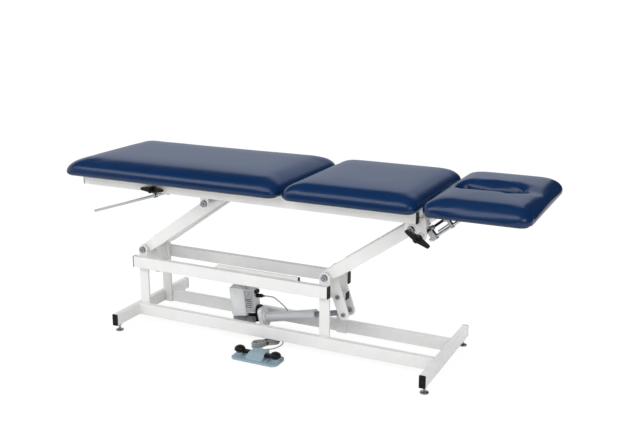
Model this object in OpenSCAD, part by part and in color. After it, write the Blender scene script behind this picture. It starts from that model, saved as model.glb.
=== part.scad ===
// Three-section treatment table with a powered parallelogram lift.
// Millimetres, +Z up, +X towards the head section, origin on the floor under the middle of the top.

/* [Top] */
// Length of the three cushions together
top_length = 1976; // [1880:4:2060]
// Width of the cushions
top_width = 610; // [580:2:640]
// Length of the long back section
back_length = 1018; // [980:2:1050]
// Length of the head section
head_length = 390; // [370:2:410]
// Gap between two sections
section_gap = 14; // [14:1:18]
// Thickness of a cushion from its lower edge to its crown
cushion_height = 62; // [58:1:68]
// Thickness of the boards under the cushions
board_height = 15; // [12:1:16]
// Length of the face opening
slot_length = 236; // [200:2:250]
// Width of the face opening
slot_width = 84; // [70:2:95]

/* [Frame] */
// Height of the rectangular tube of the frame
tube_h = 51; // [48:1:54]
// Width of the rectangular tube of the frame
tube_w = 26; // [24:1:28]
// Wall of the rectangular tube
tube_wall = 2; // [1.5:0.5:3]
// Outside width of the frame that carries the top
top_frame_width = 437; // [420:1:450]
// How far the top rails stop short of the left end of the top
rail_inset_left = 43; // [36:1:60]
// How far the top rails stop short of the right end of the middle cushion
rail_inset_right = 18; // [14:1:24]

/* [Base] */
// Distance between the two cross feet
foot_spacing = 1400; // [1360:5:1440]
// Length of a cross foot with its end caps
foot_length = 554; // [520:2:580]
// Outside width over the two floor rails
base_width = 233; // [229:1:245]
// Height of the cross feet above the floor
foot_clearance = 30; // [27:1:34]
// Distance of the upper right pivots from the right end of the top rails
rail_end_to_pivot = 30; // [28:1:34]
// Height of the lower edge of the mid rails
mid_rail_z = 249; // [246:1:252]

/* [Lift] */
// Distance between the left and the right pivots
pivot_spacing = 888; // [870:1:905]
// Distance of the left pivots from the left cross foot
post_inset = 27; // [25:1:40]
// Height of the lower pivots above the floor
lower_pivot_z = 328; // [326:1:334]
// Length of a lift arm between its pivots
arm_length = 482; // [465:1:495]
// Slope of the lift arms as the table stands
arm_angle = 35; // [32:1:38]
// Diameter of the pivot bolts
pivot_d = 16; // [14:1:18]
// Outside diameter of the sleeves that turn on the pivot bolts
sleeve_d = 38; // [34:1:38]
// Distance of the drag link from the lower pivots
link_radius = 100; // [97:1:104]
// Distance of the actuator pin from the lower right pivot
crank_radius = 177; // [172:1:182]
// Angle of the crank plates from straight down
crank_angle = 20; // [18:1:22]
// Side of the square drag link
link_size = 30; // [26:1:32]

/* [Actuator] */
// How far the rear pin of the actuator lies behind the lower right pivot
motor_back = 371; // [366:1:376]
// Height of the rear pin of the actuator above the floor
motor_pin_z = 62; // [61:1:66]
// Outside diameter of the actuator tube
ram_tube_d = 42; // [38:1:44]
// Diameter of the actuator rod
ram_rod_d = 24; // [20:1:25]
// Length of the aluminium tube
ram_tube_length = 240; // [225:1:245]

/* [Clamps] */
// Diameter of the chrome slide rods
rod_d = 12; // [10:1:12]
// Distance of the slide rod of the back section from the middle plane
back_rod_y = 126; // [124:1:130]
// Distance of the slide rod of the head section from the middle plane
head_rod_y = 104; // [100:1:106]
// Length of the slide rod of the back section from its eye
back_rod_length = 626; // [600:2:640]
// Length of the slide rod of the head section from its eye
head_rod_length = 206; // [204:1:212]

/* [Foot switch] */
// Length of the foot switch
switch_length = 210; // [200:2:220]
// Depth of the foot switch
switch_depth = 98; // [92:1:104]
// Diameter of the two pedals
pedal_d = 46; // [42:1:48]
// Diameter of the switch cord
cord_d = 5; // [4.5:0.5:5]

/* [Hidden] */

// Running fit on a diameter, gap between parts that only pass each other, and cutting overrun
fit = 0.1;
gap = 0.3;
over = 1;
$fn = 48;

frame_white = [0.87, 0.87, 0.86];
cap_black = [0.06, 0.06, 0.07];
zinc = [0.72, 0.74, 0.76];
chrome = [0.85, 0.87, 0.9];
navy = [0.03, 0.1, 0.32];
housing_grey = [0.8, 0.81, 0.82];
switch_blue = [0.6, 0.67, 0.72];

// Corner radius of the tube and thickness of a plastic end cap's rim
tube_corner = 3;
cap_rim = 4;
cap_plug = 18;

// Positions along X
top_left = -top_length / 2;
top_right = top_length / 2;
back_right = top_left + back_length;
middle_left = back_right + section_gap;
head_left = top_right - head_length;
middle_right = head_left - section_gap;
top_rail_left_x = top_left + rail_inset_left;
top_rail_right_x = middle_right - rail_inset_right;
arm_run = arm_length * cos(arm_angle);
arm_rise = arm_length * sin(arm_angle);
right_pivot_x = top_rail_right_x - rail_end_to_pivot - arm_run;
left_pivot_x = right_pivot_x - pivot_spacing;
left_foot_x = left_pivot_x - post_inset;
right_foot_x = left_foot_x + foot_spacing;
base_x = left_foot_x + foot_spacing / 2;

// Heights
tab_drop = 29.5;
upper_pivot_z = lower_pivot_z + arm_rise;
top_rail_z = upper_pivot_z + tab_drop;
rail_top_z = top_rail_z + tube_h;
board_z = rail_top_z + gap;
board_show = 2.7;
cushion_z = board_z + board_show;
mid_rail_top_z = mid_rail_z + tube_h;

// Positions across the table
floor_rail_y = base_width / 2 - tube_w / 2;
post_height_y = 10;
post_y = base_width / 2 - tube_w - post_height_y / 2;
post_inner_y = post_y - post_height_y / 2;
arm_outer_clearance = 4.5;
arm_y = post_inner_y - arm_outer_clearance - tube_w / 2;
top_rail_y = top_frame_width / 2 - tube_w / 2;
tab_t = 8;
tab_y = top_frame_width / 2 - tube_w - tab_t / 2;
tab_inner_y = tab_y - tab_t / 2;

// Flat shapes
module rounded_rect(w, h, r) {
    square([w - 2 * r, h], center = true);
    square([w, h - 2 * r], center = true);
    for (sx = [-1, 1], sy = [-1, 1])
        translate([sx * (w / 2 - r), sy * (h / 2 - r)])
            circle(r = r, $fn = 24);
}

module tube_section(w, h, wall) {
    difference() {
        rounded_rect(w, h, tube_corner);
        rounded_rect(w - 2 * wall, h - 2 * wall, tube_corner - wall / 2);
    }
}

// Flanks run a little inside the round ends, so that they cross them cleanly
flank_share = 0.985;

// Bar with two round ends, from the origin to a point on the X axis
module round_bar(distance, r1, r2) {
    circle(r = r1);
    translate([distance, 0])
        circle(r = r2);
    a = r1 * flank_share;
    b = r2 * flank_share;
    polygon([[0, a], [distance, b], [distance, -b], [0, -a]]);
}

// The flat shape stands upright and runs along X, with its middle at the origin
module along_x(length) {
    rotate([90, 0, 90])
        linear_extrude(height = length, center = true)
            children();
}

// The flat shape lies in the XZ plane and is as thick as the length along Y
module along_y(length) {
    rotate([90, 0, 0])
        linear_extrude(height = length, center = true)
            children();
}

module rod_y_axis(d, length) {
    rotate([90, 0, 0])
        cylinder(d = d, h = length, center = true);
}

module rod_x_axis(d, length) {
    rotate([0, 90, 0])
        cylinder(d = d, h = length, center = true);
}

module both_sides(y) {
    for (side = [-1, 1])
        translate([0, side * y, 0])
            children();
}

// Hexagon bolt head or nut on the Y axis
module hex_y(across, height) {
    rotate([90, 30, 0])
        cylinder(d = across / cos(30), h = height, center = true, $fn = 6);
}

// Cap with a rim over the end of a tube and a plug inside it, facing +X
module end_cap_x(w, h, wall) {
    translate([-cap_rim / 2, 0, 0])
        along_x(cap_rim)
            rounded_rect(w, h, tube_corner);
    translate([-cap_rim - cap_plug / 2, 0, 0])
        along_x(cap_plug)
            rounded_rect(w - 2 * wall - 2 * gap, h - 2 * wall - 2 * gap, tube_corner - wall);
}

// Base frame
module cross_feet() {
    tube_length = foot_length - 2 * cap_rim;
    glide_hole_d = 10;
    color(frame_white)
        for (x = [left_foot_x, right_foot_x])
            translate([x, 0, foot_clearance + tube_h / 2])
                difference() {
                    along_y(tube_length)
                        tube_section(tube_w, tube_h, tube_wall);
                    both_sides(glide_y)
                        translate([0, 0, -tube_h / 2])
                            cylinder(d = glide_hole_d + 2 * gap, h = 4 * tube_wall, center = true);
                }
}

module floor_rails() {
    rail_length = foot_spacing - tube_w;
    color(frame_white)
        both_sides(floor_rail_y)
            translate([base_x, 0, foot_clearance + tube_h / 2])
                along_x(rail_length)
                    tube_section(tube_w, tube_h, tube_wall);
}

// Mid rails tie the posts together and stand out past them
mid_rail_left_x = left_pivot_x - 38;
mid_rail_right_x = right_pivot_x + 27;

module mid_rails() {
    rail_length = mid_rail_right_x - mid_rail_left_x - 2 * cap_rim;
    color(frame_white)
        both_sides(floor_rail_y)
            translate([(mid_rail_left_x + mid_rail_right_x) / 2, 0, mid_rail_z + tube_h / 2])
                along_x(rail_length)
                    tube_section(tube_w, tube_h, tube_wall);
}

// Four flat posts with round heads that carry the lower pivots, notched where a foot passes
post_width = 44;

module pivot_posts() {
    post_length = lower_pivot_z - foot_clearance;
    color(frame_white)
        difference() {
            for (x = [left_pivot_x, right_pivot_x])
                translate([x, 0, lower_pivot_z])
                    both_sides(post_y)
                        difference() {
                            union() {
                                rod_y_axis(post_width, post_height_y);
                                translate([0, 0, -post_length / 2])
                                    cube([post_width, post_height_y, post_length], center = true);
                            }
                            rod_y_axis(pivot_d, 2 * post_height_y);
                        }
            translate([left_foot_x, 0, foot_clearance + tube_h / 2])
                cube([tube_w + 2 * gap, base_width, tube_h + 2 * gap], center = true);
        }
}

// Plate between the floor rails that carries the actuator
motor_pin_x = right_pivot_x - motor_back;
bracket_left = 95;
bracket_drop = 19;
bracket_floor_z = motor_pin_z - bracket_drop;
motor_bolt_d = 12;
tie_width = 52;
tie_height = 7;

module base_tie() {
    color(frame_white)
        translate([motor_pin_x - bracket_left + tie_width / 2, 0, bracket_floor_z - tie_height / 2])
            cube([tie_width, base_width - 2 * tube_w, tie_height], center = true);
}

// Small tube behind the front mid rail, with a bevelled left end
stop_bar_h = 26;
stop_bar_w = 12;
stop_bar_left = 364;
stop_bar_length = 405;
stop_bar_rise = 11;

module stop_bar() {
    bar_wall = 1.5;
    color(frame_white)
        translate([left_pivot_x + stop_bar_left + stop_bar_length / 2,
                -base_width / 2 + tube_w + stop_bar_w / 2,
                mid_rail_top_z + stop_bar_rise - stop_bar_h / 2])
            difference() {
                along_x(stop_bar_length)
                    difference() {
                        square([stop_bar_w, stop_bar_h], center = true);
                        square([stop_bar_w - 2 * bar_wall, stop_bar_h - 2 * bar_wall], center = true);
                    }
                translate([-stop_bar_length / 2, 0, stop_bar_h / 2])
                    rotate([0, -45, 0])
                        cube([stop_bar_h, 2 * stop_bar_w, stop_bar_h], center = true);
            }
}

module base_end_caps() {
    stop_cap = 4;
    color(cap_black) {
        for (x = [left_foot_x, right_foot_x], turn = [-90, 90])
            translate([x, 0, foot_clearance + tube_h / 2])
                rotate([0, 0, turn])
                    translate([foot_length / 2, 0, 0])
                        end_cap_x(tube_w, tube_h, tube_wall);
        both_sides(floor_rail_y)
            translate([0, 0, mid_rail_z + tube_h / 2]) {
                translate([mid_rail_right_x, 0, 0])
                    end_cap_x(tube_w, tube_h, tube_wall);
                translate([mid_rail_left_x, 0, 0])
                    mirror([1, 0, 0])
                        end_cap_x(tube_w, tube_h, tube_wall);
            }
        translate([left_pivot_x + stop_bar_left + stop_bar_length + stop_cap / 2,
                -base_width / 2 + tube_w + stop_bar_w / 2,
                mid_rail_top_z + stop_bar_rise - stop_bar_h / 2])
            cube([stop_cap, stop_bar_w, stop_bar_h], center = true);
    }
}

// Levelling glide: a disc with a threaded stem that screws into the foot
glide_inset = 30;
glide_y = foot_length / 2 - glide_inset;
glide_d = 34;

module glide(x, side) {
    sole = 7;
    rim_h = 4;
    stem_d = 10;
    stem_reach = 15;
    nut_h = 6;
    nut_across = 17;
    color(zinc)
        translate([x, side * glide_y, 0]) {
            rotate_extrude()
                polygon([[0, 0], [glide_d / 2, 0], [glide_d / 2, rim_h], [stem_d, sole],
                    [stem_d / 2, sole], [stem_d / 2, foot_clearance + stem_reach],
                    [0, foot_clearance + stem_reach]]);
            translate([0, 0, foot_clearance - nut_h - gap])
                cylinder(d = nut_across / cos(30), h = nut_h, $fn = 6);
        }
}

module glide_front_left() {
    glide(left_foot_x, -1);
}

module glide_front_right() {
    glide(right_foot_x, -1);
}

module glide_rear_left() {
    glide(left_foot_x, 1);
}

module glide_rear_right() {
    glide(right_foot_x, 1);
}

// Bolt with a washer and a nut outside, which carries a sleeve on its plain end
module pivot_bolt(seat_y, inner_y) {
    washer_d = 1.9 * pivot_d;
    washer_t = 2.5;
    nut_h = 0.55 * pivot_d;
    translate([0, (seat_y + inner_y) / 2, 0])
        rod_y_axis(pivot_d, seat_y - inner_y);
    translate([0, seat_y + washer_t / 2, 0])
        rod_y_axis(washer_d, washer_t);
    translate([0, seat_y + washer_t + nut_h / 2, 0])
        hex_y(1.5 * pivot_d, nut_h);
}

module lower_pivot_bolts() {
    reach = 34;
    color(zinc)
        for (x = [left_pivot_x, right_pivot_x], turn = [0, 180])
            translate([x, 0, lower_pivot_z])
                rotate([0, 0, turn])
                    pivot_bolt(post_y + post_height_y / 2, post_inner_y - reach);
}

// Channel with two ears, welded on the tie, that holds the rear pin of the actuator
ear_t = 5;
ear_y = 26.5;

// Outline of an ear about the pin, in shares of the depth of the bracket below the pin
ear_shares = [[-5, -1], [-5, 0.2], [0.65, 1], [0.85, 0.5], [0.65, -0.75], [-2.1, -1]];

module motor_bracket() {
    floor_t = 4;
    floor_left = 40;
    color([0.55, 0.56, 0.58])
        translate([motor_pin_x, 0, motor_pin_z]) {
            both_sides(ear_y)
                difference() {
                    along_y(ear_t)
                        polygon(bracket_drop * ear_shares);
                    rod_y_axis(motor_bolt_d, 2 * ear_t);
                }
            translate([-(bracket_left + floor_left) / 2, 0, floor_t / 2 - bracket_drop])
                cube([bracket_left - floor_left, 2 * ear_y - ear_t, floor_t], center = true);
        }
}

module motor_bolt() {
    outer_y = ear_y + ear_t / 2;
    head_h = 7;
    color(zinc)
        translate([motor_pin_x, 0, motor_pin_z]) {
            rod_y_axis(motor_bolt_d, 2 * outer_y);
            both_sides(outer_y + head_h / 2)
                hex_y(1.5 * motor_bolt_d, head_h);
        }
}

// Lift arms: a tube with a narrow lug let into its lower end
module arm() {
    tube_start = 52;
    tail = 20;
    lug_t = 10;
    lug_r = 21;
    lug_root_r = 23;
    plate_t = 3;
    tube_length = arm_length + tail - tube_start;
    color(frame_white)
        difference() {
            union() {
                translate([tube_start + tube_length / 2, 0, 0])
                    along_x(tube_length)
                        tube_section(tube_w, tube_h, tube_wall);
                for (x = [tube_start + plate_t / 2, tube_start + tube_length - plate_t / 2])
                    translate([x, 0, 0])
                        cube([plate_t, tube_w - tube_wall, tube_h - tube_wall], center = true);
                along_y(lug_t)
                    round_bar(2 * tube_start, lug_root_r, lug_r);
            }
            rod_y_axis(sleeve_d, 2 * tube_w);
            translate([arm_length, 0, 0])
                rod_y_axis(sleeve_d, 2 * tube_w);
        }
}

module arm_pair(x) {
    translate([x, 0, lower_pivot_z])
        both_sides(arm_y)
            rotate([0, -arm_angle, 0])
                arm();
}

module sleeve(x, z, half_length) {
    color(frame_white)
        translate([x, 0, z])
            difference() {
                rod_y_axis(sleeve_d, 2 * half_length);
                rod_y_axis(pivot_d + fit, 2 * half_length + over);
            }
}

// Crank plates hang from the sleeve and reach to the drag link and, on the right, to the actuator
crank_y = 31;
crank_t = 8;
link_bolt_d = 12;

module crank_plates(x, reach) {
    boss_wall = 8;
    boss_r = sleeve_d / 2 + boss_wall;
    tip_r = 23;
    color(frame_white)
        translate([x, 0, lower_pivot_z])
            both_sides(crank_y)
                rotate([0, 90 - crank_angle, 0])
                    difference() {
                        along_y(crank_t)
                            round_bar(reach, boss_r, tip_r);
                        rod_y_axis(sleeve_d, 2 * crank_t);
                        for (r = [link_radius, reach])
                            translate([r, 0, 0])
                                rod_y_axis(link_bolt_d, 2 * crank_t);
                    }
}

module crank_bolt_ends() {
    head_h = 6;
    both_sides(crank_y + crank_t / 2 + head_h / 2)
        hex_y(1.5 * link_bolt_d, head_h);
}

module at_crank(x, r) {
    translate([x + r * sin(crank_angle), 0, lower_pivot_z - r * cos(crank_angle)])
        children();
}

module link_bolt(x) {
    at_crank(x, link_radius) {
        rod_y_axis(link_bolt_d, 2 * crank_y + crank_t);
        crank_bolt_ends();
    }
}

module left_arms() {
    arm_pair(left_pivot_x);
}

module left_sleeve() {
    sleeve(left_pivot_x, lower_pivot_z, post_inner_y - 2 * gap);
}

module left_crank_plates() {
    crank_plates(left_pivot_x, link_radius);
}

module left_top_shaft() {
    sleeve(left_pivot_x + arm_run, upper_pivot_z, tab_inner_y - 2 * gap);
}

module left_link_bolt() {
    color(zinc)
        link_bolt(left_pivot_x);
}

module right_arms() {
    arm_pair(right_pivot_x);
}

module right_sleeve() {
    sleeve(right_pivot_x, lower_pivot_z, post_inner_y - 2 * gap);
}

module right_crank_plates() {
    crank_plates(right_pivot_x, crank_radius);
}

module right_top_shaft() {
    sleeve(right_pivot_x + arm_run, upper_pivot_z, tab_inner_y - 2 * gap);
}

// The link bolt goes right across, and the actuator is held by two stub bolts
module right_crank_bolts() {
    color(zinc) {
        link_bolt(right_pivot_x);
        at_crank(right_pivot_x, crank_radius) {
            both_sides(crank_y)
                rod_y_axis(link_bolt_d, crank_t);
            crank_bolt_ends();
        }
    }
}

// Drag link between the cranks, with a bush round each bolt
link_tail = 30;
link_left_x = left_pivot_x + link_radius * sin(crank_angle);
link_z = lower_pivot_z - link_radius * cos(crank_angle);
link_caps = 4;

module drag_link() {
    link_length = pivot_spacing + 2 * link_tail - 2 * link_caps;
    bush_wall = 4;
    bush_d = link_bolt_d + 2 * bush_wall;
    bush_length = 2 * crank_y - crank_t - 2 * gap;
    link_wall = 2;
    color(frame_white)
        translate([link_left_x + pivot_spacing / 2, 0, link_z])
            difference() {
                union() {
                    along_x(link_length)
                        difference() {
                            square(link_size, center = true);
                            square(link_size - 2 * link_wall, center = true);
                        }
                    for (end = [-1, 1])
                        translate([end * pivot_spacing / 2, 0, 0])
                            rod_y_axis(bush_d, bush_length);
                }
                for (end = [-1, 1])
                    translate([end * pivot_spacing / 2, 0, 0])
                        rod_y_axis(link_bolt_d + 2 * fit, 2 * crank_y);
            }
}

module drag_link_caps() {
    color(cap_black)
        translate([link_left_x + pivot_spacing / 2, 0, link_z])
            for (end = [-1, 1])
                translate([end * (pivot_spacing / 2 + link_tail - link_caps / 2), 0, 0])
                    cube([link_caps, link_size, link_size], center = true);
}

// Linear actuator, drawn along X from its rear pin and then tilted onto the crank pin
crank_pin_x = right_pivot_x + crank_radius * sin(crank_angle);
crank_pin_z = lower_pivot_z - crank_radius * cos(crank_angle);
ram_length = norm([crank_pin_x - motor_pin_x, crank_pin_z - motor_pin_z]);
ram_angle = atan2(crank_pin_z - motor_pin_z, crank_pin_x - motor_pin_x);
case_half = 23.5;
flange_start = 34;
flange_t = 18;
tube_start_x = 60;

module in_ram() {
    translate([motor_pin_x, 0, motor_pin_z])
        rotate([0, -ram_angle, 0])
            children();
}

// The housing leans towards the tube, so that it stands nearly upright
housing_lean = 7;
housing_x = -60;
housing_z = 31;

module in_housing() {
    in_ram()
        translate([housing_x, 0, housing_z])
            rotate([0, housing_lean, 0])
                children();
}

// Dark gear case between the ears, with a round cover behind the flange
module gear_case() {
    lug_r = 14;
    cover_r = 31;
    cover_t = 8;
    cover_z = 28;
    block_top = 24;
    block_back = 10;
    riser_x = 44;
    riser_length = 32;
    riser_width = 36;
    color([0.12, 0.12, 0.13]) {
        in_ram()
            difference() {
                union() {
                    rod_y_axis(2 * lug_r, 2 * case_half);
                    translate([-block_back, -case_half, -block_back])
                        cube([flange_start + block_back, 2 * case_half, block_top + block_back]);
                    translate([flange_start - cover_t / 2, 0, cover_z])
                        rod_x_axis(2 * cover_r, cover_t);
                }
                rod_y_axis(motor_bolt_d + fit, 3 * case_half);
            }
        in_housing()
            translate([riser_x, -riser_width / 2, -block_back])
                cube([riser_length, riser_width, block_back + side_z - gap]);
    }
}

// Ribbed motor housing standing on the gear case
side_z = 8;
side_end = 80;

module motor_housing() {
    body_w = 76;
    body_d = 64;
    body_h = 123;
    body_r = 12;
    sink = 5;
    lid_step = 7;
    lid_h = 6;
    lid_r = 10;
    side_w = 62;
    side_d = 52;
    side_h = 104;
    rib_t = 1.5;
    rib_h = 3;
    rib_start = 8;
    rib_span = 95;
    ribs = 9;
    color(housing_grey)
        in_housing() {
            translate([0, 0, -sink])
                linear_extrude(height = body_h)
                    rounded_rect(body_w, body_d, body_r);
            translate([0, 0, body_h - sink])
                linear_extrude(height = lid_h)
                    rounded_rect(body_w - 2 * lid_step, body_d - 2 * lid_step, lid_r);
            translate([side_end - side_w / 2, 0, side_z])
                linear_extrude(height = side_h)
                    rounded_rect(side_w, side_d, lid_r);
            for (i = [0 : ribs - 1])
                translate([0, 0, rib_start + i * rib_span / (ribs - 1)])
                    linear_extrude(height = rib_h)
                        rounded_rect(body_w + 2 * rib_t, body_d + 2 * rib_t, body_r + rib_t);
        }
}

module drive_flange() {
    plate_w = 62;
    plate_h = 86;
    plate_r = 20;
    plate_rise = 3;
    boss_d = 54;
    boss_t = tube_start_x - flange_start - flange_t;
    color([0.84, 0.84, 0.82])
        in_ram()
            difference() {
                union() {
                    translate([flange_start + flange_t / 2, 0, plate_rise])
                        along_x(flange_t)
                            rounded_rect(plate_w, plate_h, plate_r);
                    translate([flange_start + flange_t + boss_t / 2, 0, 0])
                        rod_x_axis(boss_d, boss_t);
                }
                translate([flange_start, 0, 0])
                    rod_x_axis(ram_rod_d + 4 * gap, 4 * flange_t);
            }
}

// Aluminium tube with a closing bush that guides the rod
module actuator_tube() {
    wall = 3;
    bush_t = 12;
    bush_lip = 1;
    color([0.78, 0.8, 0.83])
        in_ram()
            translate([tube_start_x, 0, 0])
                rotate([0, 90, 0])
                    rotate_extrude()
                        polygon([
                            [ram_tube_d / 2 - wall, 0], [ram_tube_d / 2, 0],
                            [ram_tube_d / 2, ram_tube_length - bush_t],
                            [ram_tube_d / 2 + bush_lip, ram_tube_length - bush_t],
                            [ram_tube_d / 2 + bush_lip, ram_tube_length],
                            [ram_rod_d / 2 + gap, ram_tube_length],
                            [ram_rod_d / 2 + gap, ram_tube_length - bush_t],
                            [ram_tube_d / 2 - wall, ram_tube_length - bush_t]]);
}

// Plug of the switch cord and a second connector, on the right side of the motor housing
plug_z = 80;

module motor_plug() {
    plug_length = 28;
    plug_d = 17;
    socket = [12, 26, 14];
    socket_y = -16;
    socket_rise = 13;
    color(cap_black)
        in_housing() {
            translate([side_end + plug_length / 2, 0, plug_z])
                rod_x_axis(plug_d, plug_length);
            translate([side_end, socket_y, plug_z + socket_rise])
                cube(socket);
        }
}

module actuator_rod() {
    eye_d = 28;
    eye_w = 2 * crank_y - crank_t - 4 * gap;
    hidden = 130;
    rod_length = ram_length - tube_start_x - ram_tube_length + hidden;
    color(zinc)
        in_ram()
            difference() {
                union() {
                    translate([ram_length - rod_length / 2, 0, 0])
                        rod_x_axis(ram_rod_d, rod_length);
                    translate([ram_length, 0, 0])
                        rod_y_axis(eye_d, eye_w);
                }
                translate([ram_length, 0, 0])
                    rod_y_axis(link_bolt_d + fit, 2 * eye_w);
            }
}

// Frame under the top
cross_tube_drop = 5;

module top_rails() {
    rail_length = top_rail_right_x - top_rail_left_x - 2 * cap_rim;
    color(frame_white)
        difference() {
            both_sides(top_rail_y)
                translate([(top_rail_left_x + top_rail_right_x) / 2, 0, top_rail_z + tube_h / 2])
                    along_x(rail_length)
                        tube_section(tube_w, tube_h, tube_wall);
            translate([back_clamp_x, -top_rail_y, back_clamp_z])
                rod_y_axis(stud_d + fit, 2 * tube_w);
        }
}

// Three tubes lying flat between the rails, below the hinge straps
module top_cross_tubes() {
    places = [top_rail_left_x + tube_h, middle_left + 2 * tube_h,
        top_rail_right_x - tube_h / 2 - cap_rim];
    color(frame_white)
        for (x = places)
            translate([x, 0, rail_top_z - cross_tube_drop - tube_w / 2])
                along_y(top_frame_width - 2 * tube_w)
                    tube_section(tube_h, tube_w, tube_wall);
}

module top_end_caps() {
    color(cap_black)
        both_sides(top_rail_y)
            translate([0, 0, top_rail_z + tube_h / 2]) {
                translate([top_rail_right_x, 0, 0])
                    end_cap_x(tube_w, tube_h, tube_wall);
                translate([top_rail_left_x, 0, 0])
                    mirror([1, 0, 0])
                        end_cap_x(tube_w, tube_h, tube_wall);
            }
}

// Tabs welded inside the rails hang down to the upper left pivots
module left_pivot_tabs() {
    tab_width = 36;
    weld = 20;
    color(frame_white)
        translate([left_pivot_x + arm_run, 0, upper_pivot_z])
            both_sides(tab_y)
                difference() {
                    union() {
                        rod_y_axis(tab_width, tab_t);
                        translate([0, 0, (tab_drop + weld) / 2])
                            cube([tab_width, tab_t, tab_drop + weld], center = true);
                    }
                    rod_y_axis(pivot_d, 2 * tab_t);
                }
}

// Round plates at the head end of the rails: they hold the right pivots and, in front, the clamp
clamp_plate_x = 41;
clamp_plate_z = 17;
clamp_boss_d = 26;
clamp_boss_t = 20;

module right_pivot_plates() {
    boss_r = 25;
    toe_r = 27;
    toe_back = 8;
    toe_x = clamp_plate_x - toe_back;
    toe_draw = 6;
    weld = 20;
    boss_in = boss_r * flank_share;
    toe_in = toe_r * flank_share;
    color(frame_white)
        translate([right_pivot_x + arm_run, 0, upper_pivot_z]) {
            both_sides(tab_y)
                difference() {
                    along_y(tab_t)
                        union() {
                            circle(r = boss_r);
                            translate([toe_x, -clamp_plate_z])
                                circle(r = toe_r);
                            polygon([[-boss_in, 0], [-boss_in, tab_drop + weld],
                                [toe_x + toe_in - toe_draw, tab_drop + weld],
                                [toe_x + toe_in, -clamp_plate_z],
                                [toe_x, -clamp_plate_z - toe_in], [0, -boss_in]]);
                        }
                    rod_y_axis(pivot_d, 2 * tab_t);
                    translate([clamp_plate_x, 0, -clamp_plate_z])
                        rod_y_axis(stud_d + fit, 2 * tab_t);
                }
            translate([clamp_plate_x, -tab_y - (tab_t + clamp_boss_t) / 2, -clamp_plate_z])
                difference() {
                    rod_y_axis(clamp_boss_d, clamp_boss_t);
                    rod_y_axis(stud_d + fit, 2 * clamp_boss_t);
                }
        }
}

module upper_pivot_bolts() {
    reach = 34;
    color(zinc)
        for (x = [left_pivot_x + arm_run, right_pivot_x + arm_run], turn = [0, 180])
            translate([x, 0, upper_pivot_z])
                rotate([0, 0, turn])
                    pivot_bolt(tab_y + tab_t / 2, tab_inner_y - reach);
}

// Boards under the cushions
board_inset = 14;
board_corner = 30;

module board(x0, x1) {
    color([0.1, 0.1, 0.11])
        translate([(x0 + x1) / 2, 0, board_z])
            linear_extrude(height = board_height)
                rounded_rect(x1 - x0 - 2 * board_inset, top_width - 2 * board_inset, board_corner);
}

// Cushions: rings of points from the lower edge up over the crown
corner_r = 42;
corner_steps = 6;
side_steps = 4;
side_draw = 3;
least_corner_r = 12;

// One quarter of the outline and its straight side, for ring number q of four
function ring_corner(l, w, r, q, z) =
    let (sx = (q == 0 || q == 3) ? 1 : -1, sy = (q < 2) ? 1 : -1)
    [for (i = [0 : corner_steps])
        let (a = 90 * q + 90 * i / corner_steps)
        [sx * (l / 2 - r) + r * cos(a), sy * (w / 2 - r) + r * sin(a), z]];

function ring_side(l, w, r, q, z, draw) =
    let (along = q % 2 == 0 ? (l - 2 * r) : (w - 2 * r), s = (q < 2) ? 1 : -1)
    [for (i = [1 : side_steps - 1])
        let (t = i / side_steps, pull = draw * sin(180 * t))
        q % 2 == 0
            ? [s * (l / 2 - r - along * t), s * (w / 2 - pull), z]
            : [-s * (l / 2 - pull), s * (w / 2 - r - along * t), z]];

function ring(l, w, r, z, draw) =
    [for (q = [0 : 3]) each concat(ring_corner(l, w, r, q, z), ring_side(l, w, r, q, z, draw))];

ring_count = 4 * (corner_steps + side_steps);

// Side profile as shares: inset as a share of the cushion height, and height as a share of it
profile_shares = [[0.1, 0], [0.03, 0.14], [0, 0.3], [0.05, 0.48], [0.17, 0.66], [0.36, 0.81],
    [0.62, 0.91], [1.0, 0.955], [1.8, 0.98], [2.9, 0.995]];

function outer_rings(l, w) =
    [for (p = profile_shares)
        let (inset = p[0] * cushion_height, r = max(corner_r - 0.4 * inset, least_corner_r))
        ring(l - 2 * inset, w - 2 * inset, r, p[1] * cushion_height, side_draw * (1 - p[1]))];

function skin_faces(rings) =
    [for (k = [0 : rings - 2], i = [0 : ring_count - 1])
        let (a = k * ring_count + i, b = k * ring_count + (i + 1) % ring_count)
        each [[a, a + ring_count, b], [b, a + ring_count, b + ring_count]]];

module pillow(l, w) {
    rings = outer_rings(l, w);
    last = len(rings) * ring_count;
    top = [0, 0, cushion_height];
    bottom = [0, 0, 0];
    points = concat([for (r = rings) each r], [top, bottom]);
    lid = [for (i = [0 : ring_count - 1])
        [last - ring_count + i, last, last - ring_count + (i + 1) % ring_count]];
    base = [for (i = [0 : ring_count - 1]) [last + 1, i, (i + 1) % ring_count]];
    polyhedron(points = points, faces = concat(skin_faces(len(rings)), lid, base));
}

// The lip of the face opening as shares of the cushion height: outward distance and height
lip_shares = [[0.36, 0.95], [0.17, 0.87], [0.05, 0.74], [0, 0.55], [0, 0.25], [0, 0]];

// The top between edge and lip: way from one to the other, and height as a share
top_shares = [[0.12, 0.885], [0.35, 0.96], [0.65, 0.985]];

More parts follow.
